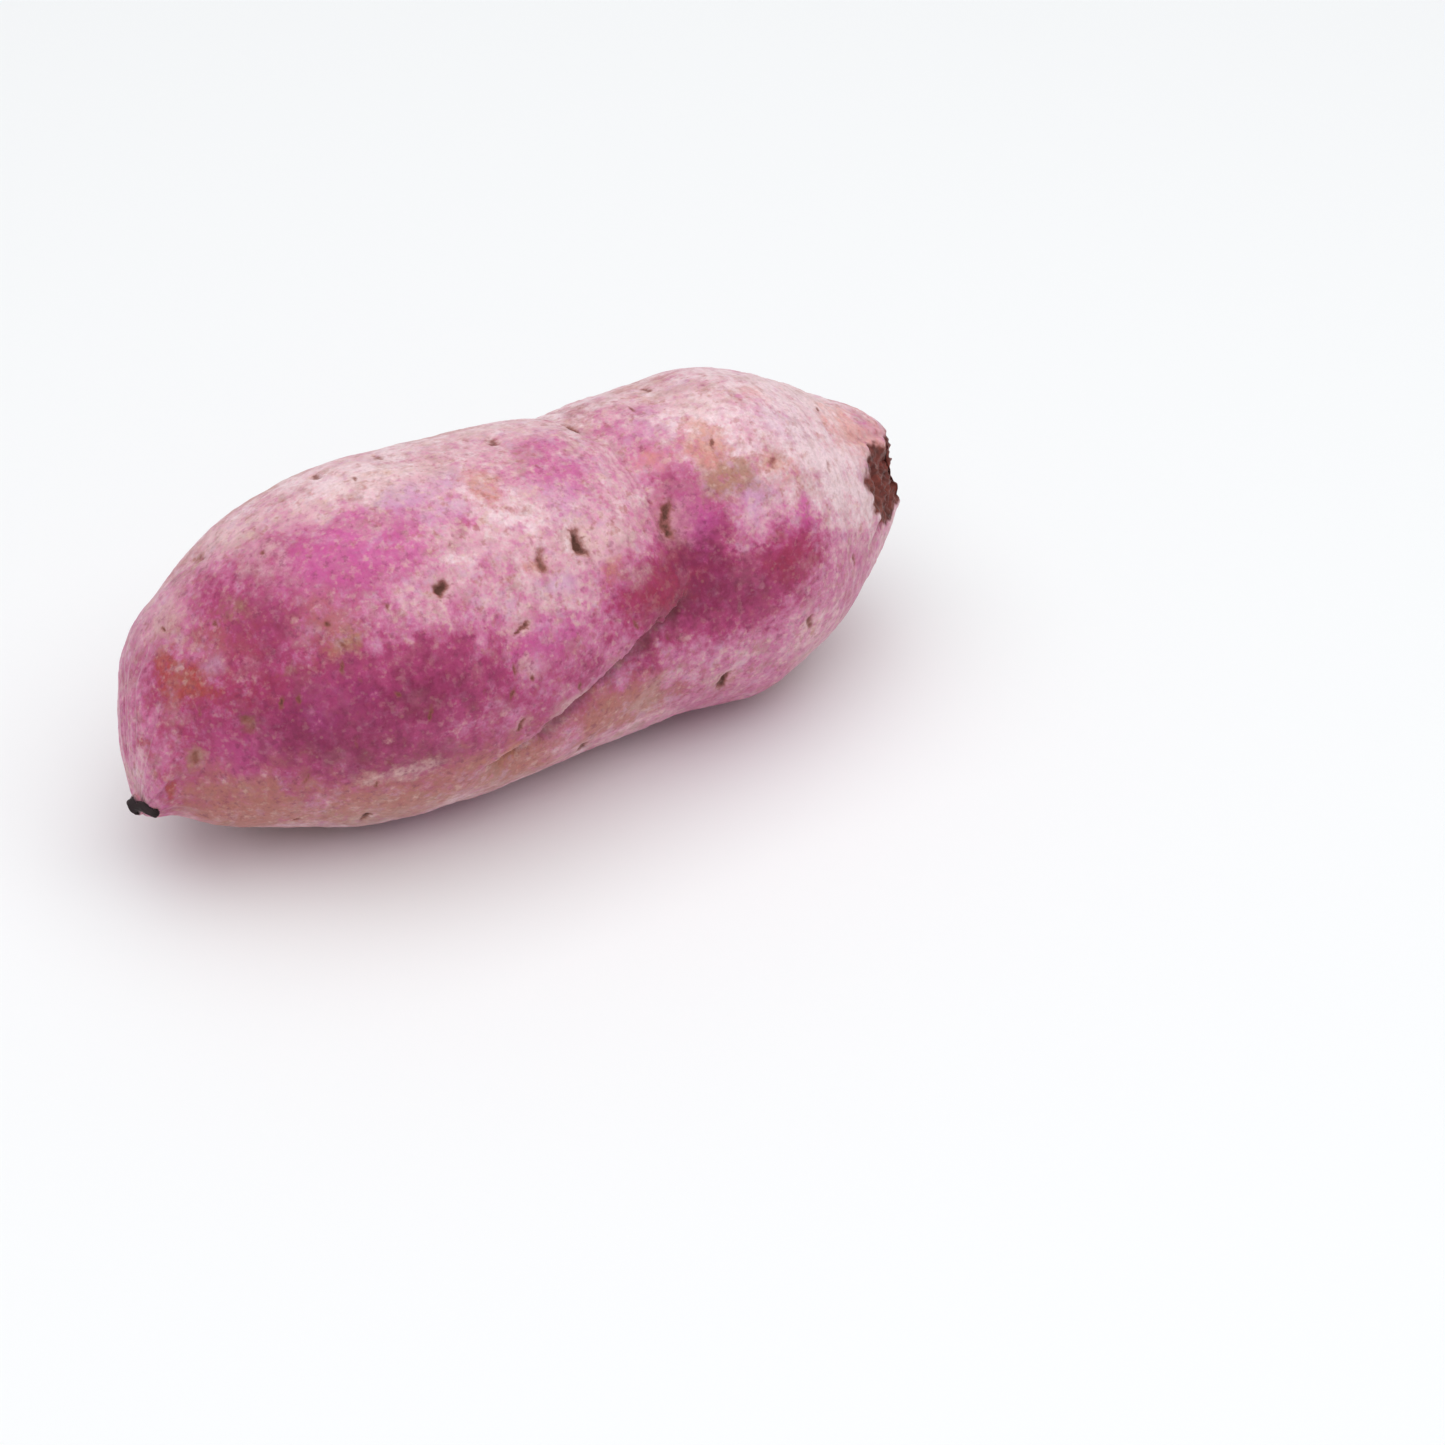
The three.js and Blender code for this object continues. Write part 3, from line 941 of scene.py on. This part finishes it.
def mottled(tree, colour, film, place, grain):
    """Specks where the film has flaked off, doubled or browned, and pin-head breathing pores. Few specks
    show where it is rubbed bare or very thick, and the wine red ones gather where it is thick."""
    thin = spread(tree, film, 0.3, 0.8, 1.0, 0.22)
    clean = spread(tree, film, 0.0, 0.22, 0.5)
    room = sums(tree, "MULTIPLY", thin, clean)
    for code, size, seed, strength in SPECKS:
        specks = spread(tree, clouds(tree, place, size, 3, 0.6, seed), 0.62, 0.86, to_high=strength)
        colour = over(tree, colour, code, sums(tree, "MULTIPLY", specks, room))
    size, seed, strength = WINE_SPECKS
    specks = spread(tree, clouds(tree, place, size, 3, 0.6, seed), 0.62, 0.9, to_high=strength)
    thick = spread(tree, film, 0.1, 0.7, 0.35)
    colour = over(tree, colour, WINE_COLOUR, sums(tree, "MULTIPLY", specks, thick))
    pores = add(tree, "ShaderNodeTexVoronoi", {"Vector": place, "Scale": 1 / (PORE_SPACING * MM)})
    colour = over(tree, colour, PORE_COLOUR, spread(tree, pores.outputs["Distance"], 0.08, 0.18, 0.18, 0.0))
    dusk = spread(tree, grain, 0.0, 1.0, 0.84, 1.12)
    shade = add(tree, "ShaderNodeCombineColor", {0: dusk, 1: dusk, 2: dusk}).outputs[0]
    return over(tree, colour, shade, 1.0, "MULTIPLY")


def scarred(tree, colour, noises, cork, scar, tail):
    """Painted shade down in the wrinkles, ribs and furrows, brown cork, the torn scar with its fibres and
    pith, and the dried tail.
    """
    # painted shade in the valleys of wrinkles and ribs
    colour = over(tree, colour, HOLLOW_SHADE_COLOUR, sums(tree, "MULTIPLY", marked(tree, "hollow_shade"), 0.35))
    # painted shade in the furrows' grooves
    colour = over(tree, colour, FURROW_SHADE_COLOUR, sums(tree, "MULTIPLY", marked(tree, "furrow"), 0.5))
    crumbled = sums(tree, "MULTIPLY", cork, swing(tree, noises["flecks"], 1.1))
    uneven = sums(tree, "ADD", cork, crumbled)
    for code, low, high, strength in BARK:
        colour = over(tree, colour, code, spread(tree, uneven, low, high, to_high=strength))
    wood = linear(SCAR_WOOD)
    for code, name, strength in SCAR_FIBRES:
        wood = over(tree, wood, code, sums(tree, "MULTIPLY", noises[name], strength))
    pith = over(tree, linear(PITH_LIGHT), PITH_DARK, noises["flecks"])
    wood = over(tree, wood, pith, sums(tree, "MULTIPLY", marked(tree, "pith"), 0.75))
    colour = over(tree, colour, wood, scar)
    return over(tree, colour, DRIED_TAIL, sums(tree, "MULTIPLY", tail, 0.97))


def skin_material():
    """Sweet potato skin, washed and dry: a thin purple-red cork film over cream flesh, matt with a soft
    pale bloom. Where the film is rubbed thin it shows beige. Cork cells are far too fine to see, so the
    finest grain is drawn at about 0.5 mm."""
    material = bpy.data.materials.new("sweet_potato_skin")
    material.use_nodes = True
    tree = material.node_tree
    tree.nodes.clear()
    place = add(tree, "ShaderNodeTexCoord").outputs["Object"]
    around = add(tree, "ShaderNodeMapping", {"Vector": place, "Scale": STREAK_SCALE}).outputs[0]
    film = marked(tree, "film")
    noises = {}
    for name, (size, detail, roughness, seed, change) in SKIN_NOISES.items():
        vector = around if name == "streaks" else place
        noises[name] = clouds(tree, vector, size, detail, roughness, seed)
        film = sums(tree, "ADD", film, swing(tree, noises[name], change))
    cork, scar, tail = (marked(tree, name) for name in ("cork", "scar", "tail"))
    colour = tinted(tree, film_colour(tree, film), noises["flaky"])
    colour = mottled(tree, colour, film, place, noises["grain"])
    colour = scarred(tree, colour, noises, cork, scar, tail)

    worn = sums(tree, "ADD", sums(tree, "MULTIPLY", noises["flaky"], ROUGHNESS_RANGE), SMOOTHEST)
    dull = sums(tree, "MAXIMUM", sums(tree, "MAXIMUM", cork, scar), tail)
    roughness = sums(tree, "ADD", worn, sums(tree, "MULTIPLY", dull, DULLER))
    pebbles = sums(tree, "MULTIPLY", noises["grain"], 0.6)
    relief = sums(tree, "ADD", pebbles, sums(tree, "MULTIPLY", noises["streaks"], 0.4))
    pressed = {"Height": relief, "Strength": FINE_RELIEF_STRENGTH, "Distance": FINE_RELIEF_HEIGHT * MM}
    bump = add(tree, "ShaderNodeBump", pressed)
    looks = {
        "Base Color": colour,
        "Roughness": roughness,
        "Normal": bump.outputs[0],
        "IOR": 1.45,
        "Sheen Weight": 0.22,
        "Sheen Roughness": 0.4,
        "Sheen Tint": linear(BLOOM),
    }
    shader = add(tree, "ShaderNodeBsdfPrincipled", looks)
    add(tree, "ShaderNodeOutputMaterial", {"Surface": shader.outputs[0]})
    return material


def table_material():
    """A matt white lacquered table top, plain and even, so that only the root's soft shadow shows on it."""
    material = bpy.data.materials.new("white_lacquered_board")
    material.use_nodes = True
    shader = material.node_tree.nodes["Principled BSDF"]
    shader.inputs["Base Color"].default_value = linear(LACQUER)
    shader.inputs["Roughness"].default_value = LACQUER_ROUGHNESS
    return material


# ---------------------------------------------------------------- the scene

TABLE_HALF = 3.0

# The camera stands this many degrees round from the front, this many up, and this many lengths of the root
# away. It is aimed off the middle of the root by these shares of its length, width and height.
CAMERA_AZIMUTH = -30
CAMERA_ELEVATION = 38
CAMERA_DISTANCE = 4.72
CAMERA_AIM = (0.214, -0.26, -0.5)
LENS = 100
SENSOR = 36

# One broad soft box above the root and a little in front of it, in a pale room.
SOFT_BOX_PLACE = (0.0, -0.12, 1.15)
SOFT_BOX_SIZE = 2.0
SOFT_BOX_WATTS = 16
ROOM_COLOUR = "#f7fbfc"
ROOM_STRENGTH = 0.5


def put(name, data):
    """A new object in the scene."""
    thing = bpy.data.objects.new(name, data)
    bpy.context.scene.collection.objects.link(thing)
    return thing


def sweet_potato():
    skin = Skin(with_tail_stub(fine_rows(frame_rows("sweet_potato"))))
    dried_tail(skin)
    fuller_tail(skin)
    broad_relief(skin)
    end_ribs(skin)
    furrows(skin)
    film_and_tints(skin)
    eyes(skin)
    nicks(skin)
    scabs(skin)
    stem_scar(skin)
    mesh = build_mesh("sweet_potato_root", skin.moved(), skin.marks)
    mesh.materials.append(skin_material())
    piece = put("sweet_potato_root", mesh)
    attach(piece, "root")
    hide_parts("sweet_potato")


def table_top():
    mesh = bpy.data.meshes.new("table_top")
    corners = [(x * TABLE_HALF, y * TABLE_HALF, 0) for x, y in ((-1, -1), (1, -1), (1, 1), (-1, 1))]
    mesh.from_pydata(corners, [], [(0, 1, 2, 3)])
    mesh.materials.append(table_material())
    board = put("table_top", mesh)
    board.location.z = cad_low.z


def towards(location, target):
    return (target - location).to_track_quat("-Z", "Y").to_euler()


def camera():
    """Looks down on the root from in front of its tail."""
    off_x, off_y, off_z = CAMERA_AIM
    aim = (cad_low + cad_high) / 2 + Vector((off_x * LENGTH, off_y * WIDTH, off_z * HEIGHT)) * MM
    azimuth, elevation = math.radians(CAMERA_AZIMUTH), math.radians(CAMERA_ELEVATION)
    flat = math.cos(elevation)
    back = Vector((math.sin(azimuth) * flat, -math.cos(azimuth) * flat, math.sin(elevation)))
    lens = bpy.data.cameras.new("camera")
    lens.lens = LENS
    lens.sensor_width = SENSOR
    eye = put("camera", lens)
    eye.location = aim + back * (CAMERA_DISTANCE * LENGTH * MM)
    eye.rotation_euler = towards(eye.location, aim)
    bpy.context.scene.camera = eye


def lights():
    light = bpy.data.lights.new("soft_box_above", "AREA")
    light.shape = "SQUARE"
    light.size = SOFT_BOX_SIZE
    light.energy = SOFT_BOX_WATTS
    lamp = put("soft_box_above", light)
    lamp.location = SOFT_BOX_PLACE
    lamp.rotation_euler = towards(lamp.location, Vector((0, 0, 0)))
    world = bpy.data.worlds.new("pale_room")
    world.use_nodes = True
    world.node_tree.nodes["Background"].inputs["Color"].default_value = linear(ROOM_COLOUR)
    world.node_tree.nodes["Background"].inputs["Strength"].default_value = ROOM_STRENGTH
    bpy.context.scene.world = world
    bpy.context.scene.view_settings.view_transform = "Standard"


sweet_potato()
table_top()
camera()
lights()
